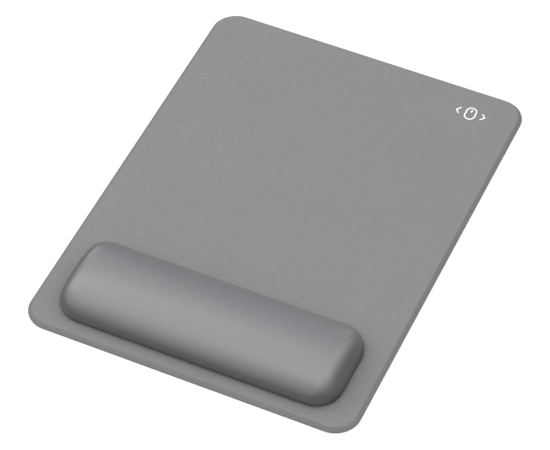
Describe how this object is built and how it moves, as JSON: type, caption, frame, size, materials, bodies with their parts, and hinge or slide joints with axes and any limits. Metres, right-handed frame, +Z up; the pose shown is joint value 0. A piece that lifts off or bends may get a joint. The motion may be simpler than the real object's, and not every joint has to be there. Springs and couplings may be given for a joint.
{
  "type": "wrist rest",
  "caption": "Mouse pad with a built-in domed wrist cushion across its front: bevelled fabric surface, smooth coated cushion cover and a non-slip rubber underside.",
  "frame": {"origin": "on the desk under the middle of the pad", "axes": "+X to the user's right along the cushion, +Y away from the user along the pad's long side, with the cushion at -Y, +Z up"},
  "size_m": [0.183, 0.245, 0.02],
  "materials": {
    "pad_fabric": "mid grey woven polyester, matt, pressed bevel at the edge",
    "cushion_cover": "cool grey smooth coated cover, satin",
    "backing": "near-black non-slip rubber with a fine dimpled face",
    "foam_rubber": "dark open foam rubber",
    "adhesive": "translucent double-sided film",
    "board": "dark grey moulded board",
    "firm_foam": "grey closed-cell foam",
    "soft_foam": "cream slow-recovery foam"
  },
  "bodies": {
    "root": {"nonslip_backing": "backing", "pad_core": "foam_rubber", "pad_fabric": "pad_fabric", "adhesive_sheet": "adhesive", "base_board": "board", "support_foam": "firm_foam", "comfort_foam": "soft_foam", "cushion_cover": "cushion_cover"}
  },
  "joints": []
}
